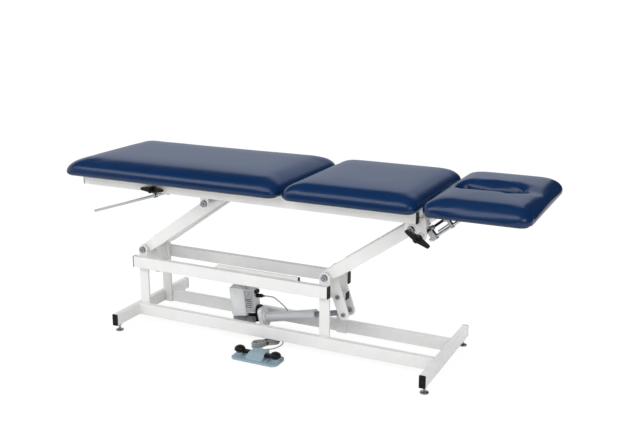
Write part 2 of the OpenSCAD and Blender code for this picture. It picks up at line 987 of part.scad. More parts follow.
module ring_pillow(l, w, hole_l, hole_w, shift) {
    outer = [for (i = [0 : 5]) outer_rings(l, w)[i]];
    lip = [for (p = lip_shares)
        let (grow = p[0] * cushion_height, h = p[1] * cushion_height)
        [for (point = ring(hole_l + 2 * grow, hole_w + 2 * grow, hole_w / 2 + grow - over, h, 0))
            point + [shift, 0, 0]]];
    between = [for (p = top_shares)
        [for (i = [0 : ring_count - 1])
            let (at = outer[5][i] * (1 - p[0]) + lip[0][i] * p[0])
            [at[0], at[1], p[1] * cushion_height]]];
    rings = concat(outer, between, lip);
    count = len(rings);
    points = [for (r = rings) each r];
    close = [for (i = [0 : ring_count - 1])
        let (a = (count - 1) * ring_count + i, b = (count - 1) * ring_count + (i + 1) % ring_count)
        each [[a, i, b], [b, i, (i + 1) % ring_count]]];
    polyhedron(points = points, faces = concat(skin_faces(count), close));
}

module board_recess(x0, x1) {
    translate([(x0 + x1) / 2, 0, board_z - over])
        linear_extrude(height = board_height + over + gap)
            rounded_rect(x1 - x0 - 2 * board_inset + 2 * gap, top_width - 2 * board_inset + 2 * gap,
                board_corner);
}

module cushion(x0, x1) {
    color(navy)
        difference() {
            translate([(x0 + x1) / 2, 0, cushion_z])
                pillow(x1 - x0, top_width);
            board_recess(x0, x1);
        }
}

module middle_board() {
    board(middle_left, middle_right);
}

module middle_cushion() {
    cushion(middle_left, middle_right);
}

module back_board() {
    board(top_left, back_right);
}

module back_cushion() {
    cushion(top_left, back_right);
}

slot_shift = 17;
slot_x = (head_left + top_right) / 2 - slot_shift;

module head_board() {
    rim = 12;
    difference() {
        board(head_left, top_right);
        translate([slot_x, 0, board_z - over])
            linear_extrude(height = board_height + 2 * over)
                rounded_rect(slot_length + rim, slot_width + rim, slot_width / 2);
    }
}

module head_cushion() {
    color(navy)
        difference() {
            translate([(head_left + top_right) / 2, 0, cushion_z])
                ring_pillow(head_length, top_width, slot_length, slot_width, -slot_shift);
            board_recess(head_left, top_right);
        }
}

// Hinges in the gaps between the sections: straps under the boards with knuckles between them
hinge_rise = 20.7;
hinge_z = board_z + hinge_rise;
knuckle_d = 10;
hinge_pin_d = 5;
strap_t = 3;
strap_length = 60;
strap_w = 13;
hinge_reach = 150;
hinge_middle = 40;
hinge_places = [-hinge_reach, hinge_middle, hinge_reach];
back_hinge_x = back_right + section_gap / 2;
head_hinge_x = head_left - section_gap / 2;

// A strap that leaves the knuckle towards +X, under the board
module hinge_strap(w) {
    color(zinc)
        difference() {
            union() {
                rod_y_axis(knuckle_d, w);
                translate([0, -w / 2, board_z - strap_t - hinge_z])
                    cube([strap_t, w, hinge_z - board_z + strap_t]);
                translate([0, -w / 2, board_z - strap_t - hinge_z])
                    cube([strap_length, w, strap_t]);
            }
            rod_y_axis(hinge_pin_d + fit, 2 * w);
        }
}

module section_straps(x, side) {
    translate([x, 0, hinge_z])
        for (y = hinge_places)
            translate([0, y, 0])
                scale([side, 1, 1])
                    hinge_strap(strap_w);
}

// The leaves on the frame side come in pairs and hold the pins
module frame_hinge_leaves() {
    for (at = [[back_hinge_x, 1], [head_hinge_x, -1]])
        translate([at[0], 0, hinge_z])
            for (y = hinge_places)
                translate([0, y, 0]) {
                    both_sides(strap_w + gap)
                        scale([at[1], 1, 1])
                            hinge_strap(strap_w);
                    color(zinc)
                        rod_y_axis(hinge_pin_d, 3 * strap_w + 4 * gap);
                }
}

module back_hinge_leaves() {
    section_straps(back_hinge_x, -1);
}

module head_hinge_leaves() {
    section_straps(head_hinge_x, 1);
}

// Slide rods and their clamps: a stud through the rail or plate carries a block that holds the rod
stud_d = 12;
rod_offset = 34;
eye_w = 8;
rod_pin_d = 6;
eye_drop = 7.5;
clamp_drop = 35;
back_clamp_to_pivot = 222;
back_eye_to_clamp = 200;
head_eye_inset = 150;
back_clamp_x = left_pivot_x + arm_run - back_clamp_to_pivot;
back_eye_x = back_clamp_x + back_eye_to_clamp;
back_clamp_z = board_z - clamp_drop;
head_clamp_x = right_pivot_x + arm_run + clamp_plate_x;
head_clamp_z = upper_pivot_z - clamp_plate_z;
head_eye_x = head_hinge_x + head_eye_inset;
eye_z = board_z - eye_drop;

// Slope of a rod from its eye to the clamp, which it passes below the stud
function slide_angle(ex, ez, cx, cz) =
    atan2(ez - cz, ex - cx) + asin(rod_offset / norm([ex - cx, ez - cz]));

back_rod_angle = slide_angle(back_eye_x, eye_z, back_clamp_x, back_clamp_z);
head_rod_angle = slide_angle(head_eye_x, eye_z, head_clamp_x, head_clamp_z);

// Two cheeks under the board with a pin that the eye of the rod turns on
module rod_bracket(x, y) {
    cheek_w = 14;
    cheek_t = 4;
    foot_w = 24;
    foot_t = 3;
    pin_head = 5;
    pin_head_d = 10;
    cheek_y = eye_w / 2 + gap + cheek_t / 2;
    outer_y = eye_w / 2 + gap + cheek_t;
    color(zinc)
        translate([x, -y, eye_z]) {
            both_sides(cheek_y) {
                rod_y_axis(cheek_w, cheek_t);
                translate([0, 0, eye_drop / 2])
                    cube([cheek_w, cheek_t, eye_drop], center = true);
            }
            both_sides(outer_y + foot_w / 2 - over)
                translate([0, 0, eye_drop - foot_t / 2])
                    cube([foot_w, foot_w, foot_t], center = true);
            both_sides(outer_y + pin_head / 2)
                rod_y_axis(pin_head_d, pin_head);
        }
}

module back_rod_bracket() {
    rod_bracket(back_eye_x, back_rod_y);
}

module head_rod_bracket() {
    rod_bracket(head_eye_x, head_rod_y);
}

// Chrome rod from its flat eye down and left through the clamp
module slide_rod(x, y, angle, length) {
    eye_d = 14;
    color(chrome)
        translate([x, -y, eye_z])
            rotate([0, -angle, 0])
                difference() {
                    union() {
                        rod_y_axis(eye_d, eye_w);
                        translate([-eye_d / 2, 0, 0])
                            cube([eye_d, eye_w, rod_d], center = true);
                        translate([-(length + eye_d) / 2, 0, 0])
                            rod_x_axis(rod_d, length - eye_d);
                    }
                    rod_y_axis(rod_pin_d + fit, 2 * eye_w);
                }
}

module back_slide_rod() {
    slide_rod(back_eye_x, back_rod_y, back_rod_angle, back_rod_length);
}

module head_slide_rod() {
    slide_rod(head_eye_x, head_rod_y, head_rod_angle, head_rod_length);
}

// A clamp block turns with its rod about the stud, and a link holds the rod again further along
block_t = 20;
guide_d = 8;
guide_rise = 11;

module at_stud(x, y, z, angle) {
    translate([x, -y, z])
        rotate([0, -angle, 0])
            children();
}

module rod_bore(length) {
    translate([0, 0, -rod_offset])
        rod_x_axis(rod_d + fit, length);
}

module clamp_block() {
    hub_d = 26;
    block_w = 22;
    block_below = 10;
    difference() {
        union() {
            rod_y_axis(hub_d, block_t);
            translate([0, 0, -(rod_offset + block_below) / 2])
                cube([block_w, block_t, rod_offset + block_below], center = true);
        }
        rod_y_axis(stud_d + fit, 2 * block_t);
        rod_bore(3 * block_w);
    }
}

// Link across both rods, from the height top down past the slide rod
module rod_link(x, top) {
    link_t = 10;
    link_w = 18;
    link_below = 9;
    height = rod_offset + top + link_below;
    difference() {
        translate([x, 0, top - height / 2])
            cube([link_t, link_w, height], center = true);
        translate([x, 0, 0])
            rod_bore(3 * link_t);
    }
}

module back_clamp() {
    guide_length = 80;
    link_top = 8;
    color(zinc)
        at_stud(back_clamp_x, back_rod_y, back_clamp_z, back_rod_angle) {
            clamp_block();
            rod_link(-guide_length, guide_rise - rod_offset + link_top);
            translate([-guide_length / 2, 0, guide_rise - rod_offset])
                rod_x_axis(guide_d, guide_length);
        }
}

// The head clamp has a dark spring rod between collars and a thin adjusting rod
module head_clamp() {
    spring_start = 12;
    spring_length = 84;
    spring_d = 9;
    collar_d = 18;
    collar_t = 9;
    collar_x = 17;
    link_top = 6;
    thin_d = 6;
    thin_length = 58;
    color(zinc)
        at_stud(head_clamp_x, head_rod_y, head_clamp_z, head_rod_angle) {
            clamp_block();
            rod_link(spring_length, link_top);
            translate([(spring_start + spring_length) / 2, 0, 0])
                rod_x_axis(spring_d, spring_length - spring_start);
            for (x = [collar_x, spring_length - collar_t])
                translate([x, 0, 0])
                    rod_x_axis(collar_d, collar_t);
            translate([spring_length - thin_length / 2, 0, guide_rise - rod_offset])
                rod_x_axis(thin_d, thin_length);
        }
}

// T-handle: a black bar with a hub on a steel stud that ends in the clamp block
module t_handle(x, y, z, turn) {
    bar_length = 106;
    bar_t = 13;
    bar_end_r = 6;
    hub_d = 26;
    hub_length = 30;
    hub_reach = 20;
    stud_in = 12;
    stud_out = 24;
    hub_y = top_frame_width / 2 + hub_reach;
    stud_end = y - stud_in;
    stud_length = hub_y + stud_out - stud_end;
    color(cap_black)
        translate([x, -hub_y, z])
            rotate([0, turn, 0]) {
                rod_y_axis(hub_d, hub_length);
                along_y(bar_t)
                    hull() {
                        circle(d = hub_d, $fn = 32);
                        for (side = [-1, 1])
                            translate([side * (bar_length / 2 - bar_end_r), 0])
                                circle(r = bar_end_r, $fn = 32);
                    }
            }
    color(zinc)
        translate([x, -stud_end - stud_length / 2, z])
            rod_y_axis(stud_d, stud_length);
}

module back_t_handle() {
    t_handle(back_clamp_x, back_rod_y, back_clamp_z, 0);
}

module head_t_handle() {
    t_handle(head_clamp_x, head_rod_y, head_clamp_z, 30);
}

// Foot switch: cast base with a raised neck, which narrows to the back, and two domed pedals
switch_shift = 6;
switch_x = base_x - switch_shift;
switch_y = -252;
switch_plate_h = 9;
pedal_reach = 82;
pedal_z = 26;
pedal_h = 16;
pedal_stem_d = 12;

// Side outline of the neck in shares of its height, and its width in front and behind
neck_w = 78;
neck_back_w = 42;
neck_r = 14;
neck_h = 34;
neck_shares = [[-1.53, 0], [-1.35, 0.38], [-0.41, 0.85], [0.24, 1], [1.06, 0.76], [1.82, 0.44],
    [1.88, 0]];

module switch_base() {
    tray = 3;
    plate_r = 26;
    tray_r = 18;
    tray_rim = 8;
    neck_shift = 8;
    neck_front = 36;
    neck_back = 50;
    collar_d = 32;
    collar_gap = 6;
    tray_length = (switch_length - neck_w) / 2 - neck_r;
    color(switch_blue)
        translate([switch_x, switch_y, 0]) {
            difference() {
                linear_extrude(height = switch_plate_h)
                    rounded_rect(switch_length, switch_depth, plate_r);
                for (side = [-1, 1])
                    translate([side * pedal_reach, 0, switch_plate_h - tray])
                        linear_extrude(height = switch_plate_h)
                            rounded_rect(tray_length, switch_depth - 2 * tray_rim, tray_r);
            }
            translate([0, neck_shift, 0])
                intersection() {
                    along_x(neck_w)
                        polygon(neck_h * neck_shares);
                    translate([0, 0, neck_h / 2])
                        linear_extrude(height = neck_h + 2 * over, center = true)
                            hull()
                                for (side = [-1, 1]) {
                                    translate([side * (neck_w / 2 - neck_r), -neck_front])
                                        circle(r = neck_r, $fn = 32);
                                    translate([side * (neck_back_w / 2 - neck_r), neck_back])
                                        circle(r = neck_r, $fn = 32);
                                }
                }
            for (side = [-1, 1])
                translate([side * pedal_reach, 0, switch_plate_h - tray])
                    difference() {
                        cylinder(d = collar_d, h = pedal_z - switch_plate_h - collar_gap);
                        translate([0, 0, over])
                            cylinder(d = pedal_stem_d, h = pedal_z);
                    }
        }
}

// Black rubber dome with a neck towards the middle and a stem that presses into the base
module pedal(side) {
    stem_z = 13;
    lip = 4;
    lip_drop = 2;
    dome_rise = 3;
    stem_r = pedal_stem_d / 2 - gap;
    arm_start = 36;
    arm_end = 64;
    arm_w = 18;
    arm_z = 17;
    arm_h = 13;
    color(cap_black)
        translate([switch_x, switch_y, 0]) {
            translate([side * pedal_reach, 0, 0])
                rotate_extrude()
                    polygon(concat(
                        [[0, stem_z], [stem_r, stem_z], [stem_r, pedal_z - lip_drop],
                            [pedal_d / 2 - lip, pedal_z - lip_drop], [pedal_d / 2, pedal_z]],
                        [for (a = [0 : 15 : 90])
                            [pedal_d / 2 * cos(a), pedal_z + dome_rise + pedal_h * sin(a)]]));
            translate([side * (arm_start + arm_end) / 2, 0, arm_z + arm_h / 2])
                cube([arm_end - arm_start, arm_w, arm_h], center = true);
        }
}

module left_pedal() {
    pedal(-1);
}

module right_pedal() {
    pedal(1);
}

// A round tube swept along points
function along(points, i) =
    let (n = len(points), a = points[max(i - 1, 0)], b = points[min(i + 1, n - 1)])
    (b - a) / norm(b - a);

function side_of(t) =
    let (s = abs(t[2]) > 0.9 ? cross(t, [0, 1, 0]) : cross(t, [0, 0, 1]))
    s / norm(s);

module swept_tube(points, d, sides) {
    n = len(points);
    ring_points = [for (i = [0 : n - 1])
        let (t = along(points, i), u = side_of(t), v = cross(t, u))
        each [for (k = [0 : sides - 1])
            points[i] + d / 2 * (cos(360 * k / sides) * u + sin(360 * k / sides) * v)]];
    wall = [for (i = [0 : n - 2], k = [0 : sides - 1])
        let (a = i * sides + k, b = i * sides + (k + 1) % sides)
        each [[a, a + sides, b], [b, a + sides, b + sides]]];
    first = [for (k = [1 : sides - 2]) [0, k, k + 1]];
    last = [for (k = [1 : sides - 2]) [(n - 1) * sides, (n - 1) * sides + k + 1, (n - 1) * sides + k]];
    polyhedron(points = ring_points, faces = concat(wall, first, last));
}

// Route of the switch cord from the motor plug to the hank
cord_points = [[-195.4, 0, 169.5], [-190, 0, 170], [-174, 0, 171.5], [-156, 0, 172], [-140, 2, 170],
    [-126, 6, 160], [-112, 11, 147], [-100, 17, 134], [-91, 24, 119], [-89, 31, 105], [-97, 37, 94],
    [-114, 41, 86], [-136, 43, 79], [-160, 43, 71], [-184, 42, 60], [-201, 40, 46], [-207, 38, 30],
    [-202, 36, 14], [-190, 33, 5], [-172, 30, 3], [-146, 27, 3], [-118, 22, 3], [-94, 12, 3],
    [-82, -6, 3], [-90, -30, 3], [-110, -58.4, 3], [-115.2, -65.8, 3]];

// Route of the cord from the hank to the neck of the foot switch
lead_points = [[-71, -85, 20], [-61, -81, 17], [-51, -86, 14], [-48, -97, 11], [-50, -110, 8],
    [-56, -124, 6], [-64, -140, 5], [-72, -154, 6], [-78, -166, 8], [-80, -176, 9], [-80, -185, 9]];

// The spare cord is wound in long loops that spiral in and out in four layers
hank_half_run = 40;
hank_fold_r = 15;
hank_pitch = 6;
hank_waist = 10;
hank_z = 3;
hank_centre = [-118, -113, 0];
hank_turn = 55;
hank_rings = 24;
hank_first_turns = 1.625;
hank_layer_turns = 1.5;
hank_turns = 5.75;

// Turns from the innermost loop, which the winding passes once in each pair of layers
function spiral(t) =
    let (away = (t - hank_first_turns) % (2 * hank_layer_turns))
    away < 0 ? -away : min(away, 2 * hank_layer_turns - away);

function ease(t) =
    let (x = min(max(t, 0), 1))
    x * x * (3 - 2 * x);

// The cord climbs to the next layer along the run on which the spiral reverses
function layer(t) =
    ease(4 * (t - hank_first_turns) + 0.5)
    + ease(4 * (t - hank_first_turns - hank_layer_turns) + 0.5)
    + ease(4 * (t - hank_first_turns - 2 * hank_layer_turns) + 0.5);

function hank_flat(t) =
    let (r = hank_fold_r + hank_pitch * spiral(t), half = floor(2 * t), part = 4 * (t - half / 2),
        side = half % 2 == 0 ? 1 : -1)
    part < 1
        ? side * [hank_half_run * (1 - 2 * part), r - hank_waist * (1 - cos(360 * part)) / 2]
        : side * [-hank_half_run - r * sin(180 * (part - 1)), r * cos(180 * (part - 1))];

hank_points = [for (i = [0 : hank_rings * hank_turns])
    let (t = i / hank_rings, p = hank_flat(t))
    hank_centre + [p[0] * cos(hank_turn) - p[1] * sin(hank_turn),
        p[0] * sin(hank_turn) + p[1] * cos(hank_turn), hank_z + hank_pitch * layer(t)]];

module switch_cord() {
    color([0.3, 0.3, 0.32])
        swept_tube(cord_points, cord_d, 8);
}

module cord_hank() {
    color([0.3, 0.3, 0.32])
        swept_tube(concat(hank_points, lead_points), cord_d, 6);
}

cross_feet();
floor_rails();
mid_rails();
pivot_posts();
base_tie();
stop_bar();
base_end_caps();
glide_front_left();
glide_front_right();
glide_rear_left();
glide_rear_right();
lower_pivot_bolts();
motor_bracket();
motor_bolt();
left_arms();
left_sleeve();
left_crank_plates();
left_top_shaft();
left_link_bolt();
right_arms();
right_sleeve();
right_crank_plates();
right_top_shaft();
right_crank_bolts();
drag_link();
drag_link_caps();
gear_case();
motor_housing();
drive_flange();
actuator_tube();
motor_plug();
actuator_rod();
top_rails();
top_cross_tubes();
top_end_caps();
left_pivot_tabs();
right_pivot_plates();
upper_pivot_bolts();
middle_board();
middle_cushion();
frame_hinge_leaves();
back_board();
back_cushion();
back_hinge_leaves();
back_rod_bracket();
head_board();
head_cushion();
head_hinge_leaves();
head_rod_bracket();
back_clamp();
back_slide_rod();
back_t_handle();
head_clamp();
head_slide_rod();
head_t_handle();
switch_base();
left_pedal();
right_pedal();
switch_cord();
cord_hank();
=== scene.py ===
import math

import bmesh
import bpy
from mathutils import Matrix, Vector


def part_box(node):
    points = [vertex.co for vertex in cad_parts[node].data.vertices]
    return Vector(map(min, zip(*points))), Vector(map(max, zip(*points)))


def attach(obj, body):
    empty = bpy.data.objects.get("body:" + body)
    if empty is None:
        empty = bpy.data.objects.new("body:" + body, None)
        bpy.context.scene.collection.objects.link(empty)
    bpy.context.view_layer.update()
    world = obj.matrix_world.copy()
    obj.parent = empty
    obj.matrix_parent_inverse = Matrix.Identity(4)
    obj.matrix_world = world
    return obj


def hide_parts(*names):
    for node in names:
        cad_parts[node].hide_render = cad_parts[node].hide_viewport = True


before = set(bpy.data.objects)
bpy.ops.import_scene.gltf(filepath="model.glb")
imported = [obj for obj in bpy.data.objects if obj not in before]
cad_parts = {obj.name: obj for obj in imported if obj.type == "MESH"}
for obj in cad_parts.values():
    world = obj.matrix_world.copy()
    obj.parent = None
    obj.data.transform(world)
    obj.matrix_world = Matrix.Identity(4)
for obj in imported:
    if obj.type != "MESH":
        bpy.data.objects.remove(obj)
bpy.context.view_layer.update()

# The camera stands in front and to the right, a little above the top.
# Its place and lens were found by fitting the straight edges of the frame.
camera_place = (1.5682, -3.148, 1.4888)
camera_tilt, camera_turn = math.radians(75.181), math.radians(25.961)
camera_data = bpy.data.cameras.new("camera")
camera_data.sensor_width = 36
camera_data.lens = 51.454
camera = bpy.data.objects.new("camera", camera_data)
camera.location = camera_place
camera.rotation_euler = (camera_tilt, 0, camera_turn)
bpy.context.scene.collection.objects.link(camera)
bpy.context.scene.camera = camera
bpy.context.scene.view_settings.view_transform = "Standard"

# Materials are node based. Each one starts from a name, a colour, a roughness and how metallic it is.
# The first section that needs one is the cord, a limp grey PVC cable.
def start_material(name, colour, roughness, metallic=0.0):
    material = bpy.data.materials.new(name)
    material.use_nodes = True
    shader = material.node_tree.nodes["Principled BSDF"]
    shader.inputs["Base Color"].default_value = (*colour, 1)
    shader.inputs["Roughness"].default_value = roughness
    shader.inputs["Metallic"].default_value = metallic
    return material


def add_noise(material, scale, detail=3.0, stretch=(1, 1, 1)):
    nodes, links = material.node_tree.nodes, material.node_tree.links
    place = nodes.new("ShaderNodeTexCoord")
    mapping = nodes.new("ShaderNodeMapping")
    mapping.inputs["Scale"].default_value = stretch
    noise = nodes.new("ShaderNodeTexNoise")
    noise.inputs["Scale"].default_value = scale
    noise.inputs["Detail"].default_value = detail
    links.new(place.outputs["Object"], mapping.inputs["Vector"])
    links.new(mapping.outputs["Vector"], noise.inputs["Vector"])
    return noise.outputs["Fac"]


def vary_colour(material, factor, dark, light):
    nodes, links = material.node_tree.nodes, material.node_tree.links
    ramp = nodes.new("ShaderNodeValToRGB")
    ramp.color_ramp.elements[0].position = 0.3
    ramp.color_ramp.elements[0].color = (*dark, 1)
    ramp.color_ramp.elements[1].position = 0.7
    ramp.color_ramp.elements[1].color = (*light, 1)
    links.new(factor, ramp.inputs["Fac"])
    links.new(ramp.outputs["Color"], nodes["Principled BSDF"].inputs["Base Color"])


def vary_roughness(material, factor, low, high):
    nodes, links = material.node_tree.nodes, material.node_tree.links
    spread = nodes.new("ShaderNodeMapRange")
    spread.inputs["From Min"].default_value = 0.3
    spread.inputs["From Max"].default_value = 0.7
    spread.inputs["To Min"].default_value = low
    spread.inputs["To Max"].default_value = high
    links.new(factor, spread.inputs["Value"])
    links.new(spread.outputs["Result"], nodes["Principled BSDF"].inputs["Roughness"])


def add_bump(material, factor, strength, distance):
    nodes, links = material.node_tree.nodes, material.node_tree.links
    bump = nodes.new("ShaderNodeBump")
    bump.inputs["Strength"].default_value = strength
    bump.inputs["Distance"].default_value = distance
    links.new(factor, bump.inputs["Height"])
    links.new(bump.outputs["Normal"], nodes["Principled BSDF"].inputs["Normal"])


cord_pvc = start_material("cord_pvc", (0.32, 0.32, 0.33), 0.42)
cord_noise = add_noise(cord_pvc, 900)
vary_colour(cord_pvc, cord_noise, (0.28, 0.28, 0.29), (0.37, 0.37, 0.38))
add_bump(cord_pvc, cord_noise, 0.25, 0.0003)

# The low-voltage cord runs from the motor plug behind the tube to the floor, and on to the foot switch.
# Its spare length is a hank of long loops in four layers, wound by the same rule as the solid.
# All its places are in millimetres, as the solid's are.
plug_route = [(-195.4, 0, 169.5), (-190, 0, 170), (-174, 0, 171.5), (-156, 0, 172), (-140, 2, 170),
              (-126, 6, 160), (-112, 11, 147), (-100, 17, 134), (-91, 24, 119), (-89, 31, 105),
              (-97, 37, 94), (-114, 41, 86), (-136, 43, 79), (-160, 43, 71), (-184, 42, 60),
              (-201, 40, 46), (-207, 38, 30), (-202, 36, 14), (-190, 33, 5), (-172, 30, 3),
              (-146, 27, 3), (-118, 22, 3), (-94, 12, 3), (-82, -6, 3), (-90, -30, 3),
              (-110, -58.4, 3)]
switch_route = [(-71, -85, 20), (-61, -81, 17), (-51, -86, 14), (-48, -97, 11), (-50, -110, 8),
                (-56, -124, 6), (-64, -140, 5), (-72, -154, 6), (-78, -166, 8), (-80, -176, 9),
                (-80, -185, 9)]

# The hank's middle, its loops, and the turns at which the winding climbs to its next layer.
hank_x, hank_y, hank_turn = -118, -113, math.radians(55)
straight_half, loop_radius, waist_pinch = 40, 15, 5
first_height, layer_step = 3.0, 6
first_climb, climb_every, climbs = 1.625, 1.5, 3


def winding_radius(turn):
    away = turn - first_climb
    if away > 0:
        away = away % (2 * climb_every)
        away = min(away, 2 * climb_every - away)
    else:
        away = -away
    return loop_radius + layer_step * away


def winding_height(turn):
    height = first_height
    for climb in range(climbs):
        x = min(max(4 * (turn - first_climb - climb * climb_every) + 0.5, 0), 1)
        height += layer_step * x * x * (3 - 2 * x)
    return height


def winding_point(turn):
    radius = winding_radius(turn)
    half = math.floor(2 * turn)
    part = 4 * (turn - half / 2)
    side = 1 if half % 2 == 0 else -1
    if part < 1:
        u = straight_half * (1 - 2 * part)
        v = radius - waist_pinch * (1 - math.cos(2 * math.pi * part))
    else:
        u = -straight_half - radius * math.sin(math.pi * (part - 1))
        v = radius * math.cos(math.pi * (part - 1))
    c, s = math.cos(hank_turn), math.sin(hank_turn)
    return (hank_x + side * (u * c - v * s), hank_y + side * (u * s + v * c), winding_height(turn))


points_per_turn, hank_turns = 24, 5.75
last_point = round(points_per_turn * hank_turns)
hank_route = [winding_point(step / points_per_turn) for step in range(last_point + 1)]
route = [Vector(point) / 1000 for point in plug_route + hank_route + switch_route]
bpy.ops.object.select_all(action="DESELECT")
bpy.ops.curve.primitive_bezier_curve_add(location=(0, 0, 0))
cord = bpy.context.object
cord.name = "foot_switch_cord"
cord.data.bevel_depth = 0.0025
cord.data.bevel_resolution = 3
cord.data.resolution_u = 3
cord.data.use_fill_caps = True
spline = cord.data.splines[0]
spline.bezier_points.add(len(route) - 2)
for point, place in zip(spline.bezier_points, route):
    point.co = place
    point.handle_left_type = point.handle_right_type = "AUTO"
cord.data.materials.append(cord_pvc)
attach(cord, "base")
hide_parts("switch_cord", "cord_hank")

# The powder-coated steel of the whole frame: floor frame, posts, arms, cranks, link and top frame.
# It is an off-white coat with a faint orange-peel skin.
frame_paint = start_material("frame_paint", (0.81, 0.81, 0.8), 0.36)
paint_patch = add_noise(frame_paint, 9, 2)
vary_colour(frame_paint, paint_patch, (0.79, 0.79, 0.78), (0.835, 0.835, 0.825))
peel = add_noise(frame_paint, 420, 2)
add_bump(frame_paint, peel, 0.12, 0.0004)
frame_paint.node_tree.nodes["Principled BSDF"].inputs["Coat Weight"].default_value = 0.25
frame_paint.node_tree.nodes["Principled BSDF"].inputs["Coat Roughness"].default_value = 0.2


def dress(material, *names):
    for name in names:
        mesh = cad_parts[name].data
        mesh.materials.clear()
        mesh.materials.append(material)


dress(frame_paint, "cross_feet", "floor_rails", "mid_rails", "pivot_posts", "base_tie", "stop_bar",
      "left_arms", "left_sleeve", "left_crank_plates", "left_top_shaft",
      "right_arms", "right_sleeve", "right_crank_plates", "right_top_shaft", "drag_link",
      "top_rails", "top_cross_tubes", "left_pivot_tabs", "right_pivot_plates")

# Black moulded caps close every open tube end.
# They are matt polyethylene with a slightly worn, greyer skin.
cap_plastic = start_material("cap_plastic", (0.005, 0.005, 0.006), 0.5)
cap_noise = add_noise(cap_plastic, 160, 4)
vary_colour(cap_plastic, cap_noise, (0.004, 0.004, 0.005), (0.008, 0.008, 0.009))
cap_plastic.node_tree.nodes["Principled BSDF"].inputs["Specular IOR Level"].default_value = 0.2
vary_roughness(cap_plastic, cap_noise, 0.42, 0.6)
dress(cap_plastic, "base_end_caps", "drag_link_caps", "top_end_caps", "motor_plug", "gear_case")

# Bolts, glides, hinge straps, brackets and clamps are steel with dull, cloudy zinc plate.
# The actuator's rod has the same finish.
zinc_plate = start_material("zinc_plate", (0.38, 0.41, 0.43), 0.32, 1.0)
zinc_noise = add_noise(zinc_plate, 120, 5)
vary_colour(zinc_plate, zinc_noise, (0.31, 0.34, 0.36), (0.45, 0.48, 0.5))
vary_roughness(zinc_plate, zinc_noise, 0.24, 0.42)
dress(zinc_plate, "glide_front_left", "glide_front_right", "glide_rear_left", "glide_rear_right",
      "lower_pivot_bolts", "motor_bracket", "motor_bolt", "left_link_bolt", "right_crank_bolts",
      "actuator_rod", "upper_pivot_bolts", "frame_hinge_leaves", "back_hinge_leaves",
      "back_rod_bracket", "head_hinge_leaves", "head_rod_bracket", "back_clamp", "head_clamp")

# The two slide rods that guide the clamps are steel with polished chrome plate.
# Handling marks vary their gloss a little.
rod_chrome = start_material("rod_chrome", (0.5, 0.53, 0.56), 0.12, 1.0)
vary_roughness(rod_chrome, add_noise(rod_chrome, 60), 0.08, 0.18)
dress(rod_chrome, "back_slide_rod", "head_slide_rod")

# The boards that carry the cushions are plywood stained black.
# The grain runs along the table and shows as faint streaks.
board_ply = start_material("board_ply", (0.03, 0.03, 0.033), 0.6)
board_noise = add_noise(board_ply, 30, 6, (1, 8, 8))
vary_colour(board_ply, board_noise, (0.022, 0.022, 0.024), (0.045, 0.044, 0.045))
add_bump(board_ply, board_noise, 0.2, 0.0005)
dress(board_ply, "middle_board", "back_board", "head_board")

# The housing of the motor and its drive flange are light grey moulded plastic.
# Their skin is finely grained, with slow changes of shade.
motor_shell = start_material("motor_shell", (0.7, 0.71, 0.72), 0.42)
shell_noise = add_noise(motor_shell, 300, 3)
add_bump(motor_shell, shell_noise, 0.15, 0.0003)
vary_colour(motor_shell, add_noise(motor_shell, 20, 2), (0.66, 0.67, 0.68), (0.74, 0.75, 0.76))
dress(motor_shell, "motor_housing", "drive_flange")

# The outer tube of the actuator is drawn aluminium with a pale satin coat.
# Fine lines along the tube break up its gloss.
ram_aluminium = start_material("ram_aluminium", (0.7, 0.71, 0.74), 0.42, 0.55)
ram_noise = add_noise(ram_aluminium, 250, 3, (1, 12, 12))
vary_roughness(ram_aluminium, ram_noise, 0.36, 0.5)
dress(ram_aluminium, "actuator_tube")

# The base of the foot switch is a casting with blue-grey enamel.
# The coat is slightly mottled and follows the grain of the casting.
switch_enamel = start_material("switch_enamel", (0.32, 0.4, 0.46), 0.4)
enamel_noise = add_noise(switch_enamel, 240, 4)
vary_colour(switch_enamel, enamel_noise, (0.25, 0.36, 0.42), (0.31, 0.42, 0.48))
add_bump(switch_enamel, enamel_noise, 0.2, 0.0004)
dress(switch_enamel, "switch_base")

# The two pedals and the two T-handles are moulded in black rubber.
# Their skin is smooth and worn to a slight gloss.
grip_rubber = start_material("grip_rubber", (0.004, 0.004, 0.005), 0.35)
grip_noise = add_noise(grip_rubber, 200, 3)
vary_colour(grip_rubber, grip_noise, (0.003, 0.003, 0.004), (0.007, 0.007, 0.008))
grip_rubber.node_tree.nodes["Principled BSDF"].inputs["Specular IOR Level"].default_value = 0.25
vary_roughness(grip_rubber, grip_noise, 0.28, 0.45)
dress(grip_rubber, "left_pedal", "right_pedal", "back_t_handle", "head_t_handle")

# Glossy navy vinyl covers the cushions: a fine leather grain under a smooth top coat.
# The flat tops look greyer than the sides, because they mirror the studio.
navy_vinyl = start_material("navy_vinyl", (0.001, 0.018, 0.07), 0.25)
vinyl_patch = add_noise(navy_vinyl, 6, 3)
vary_colour(navy_vinyl, vinyl_patch, (0.0009, 0.017, 0.066), (0.0012, 0.0195, 0.075))
grain = add_noise(navy_vinyl, 700, 4)
add_bump(navy_vinyl, grain, 0.1, 0.0004)
navy_vinyl.node_tree.nodes["Principled BSDF"].inputs["Specular IOR Level"].default_value = 0.4


# Each cushion is foam under stretched vinyl, wrapped round a board.
# It is blown up by a short cloth simulation from a smaller block, and its underside is cut for the board.
def deselect_all():
    if bpy.context.object and bpy.context.object.mode != "OBJECT":
        bpy.ops.object.mode_set(mode="OBJECT")
    bpy.ops.object.select_all(action="DESELECT")


def only(obj):
    deselect_all()
    obj.select_set(True)
    bpy.context.view_layer.objects.active = obj


def apply_modifiers(obj):
    only(obj)
    for modifier in list(obj.modifiers):
        bpy.ops.object.modifier_apply(modifier=modifier.name)


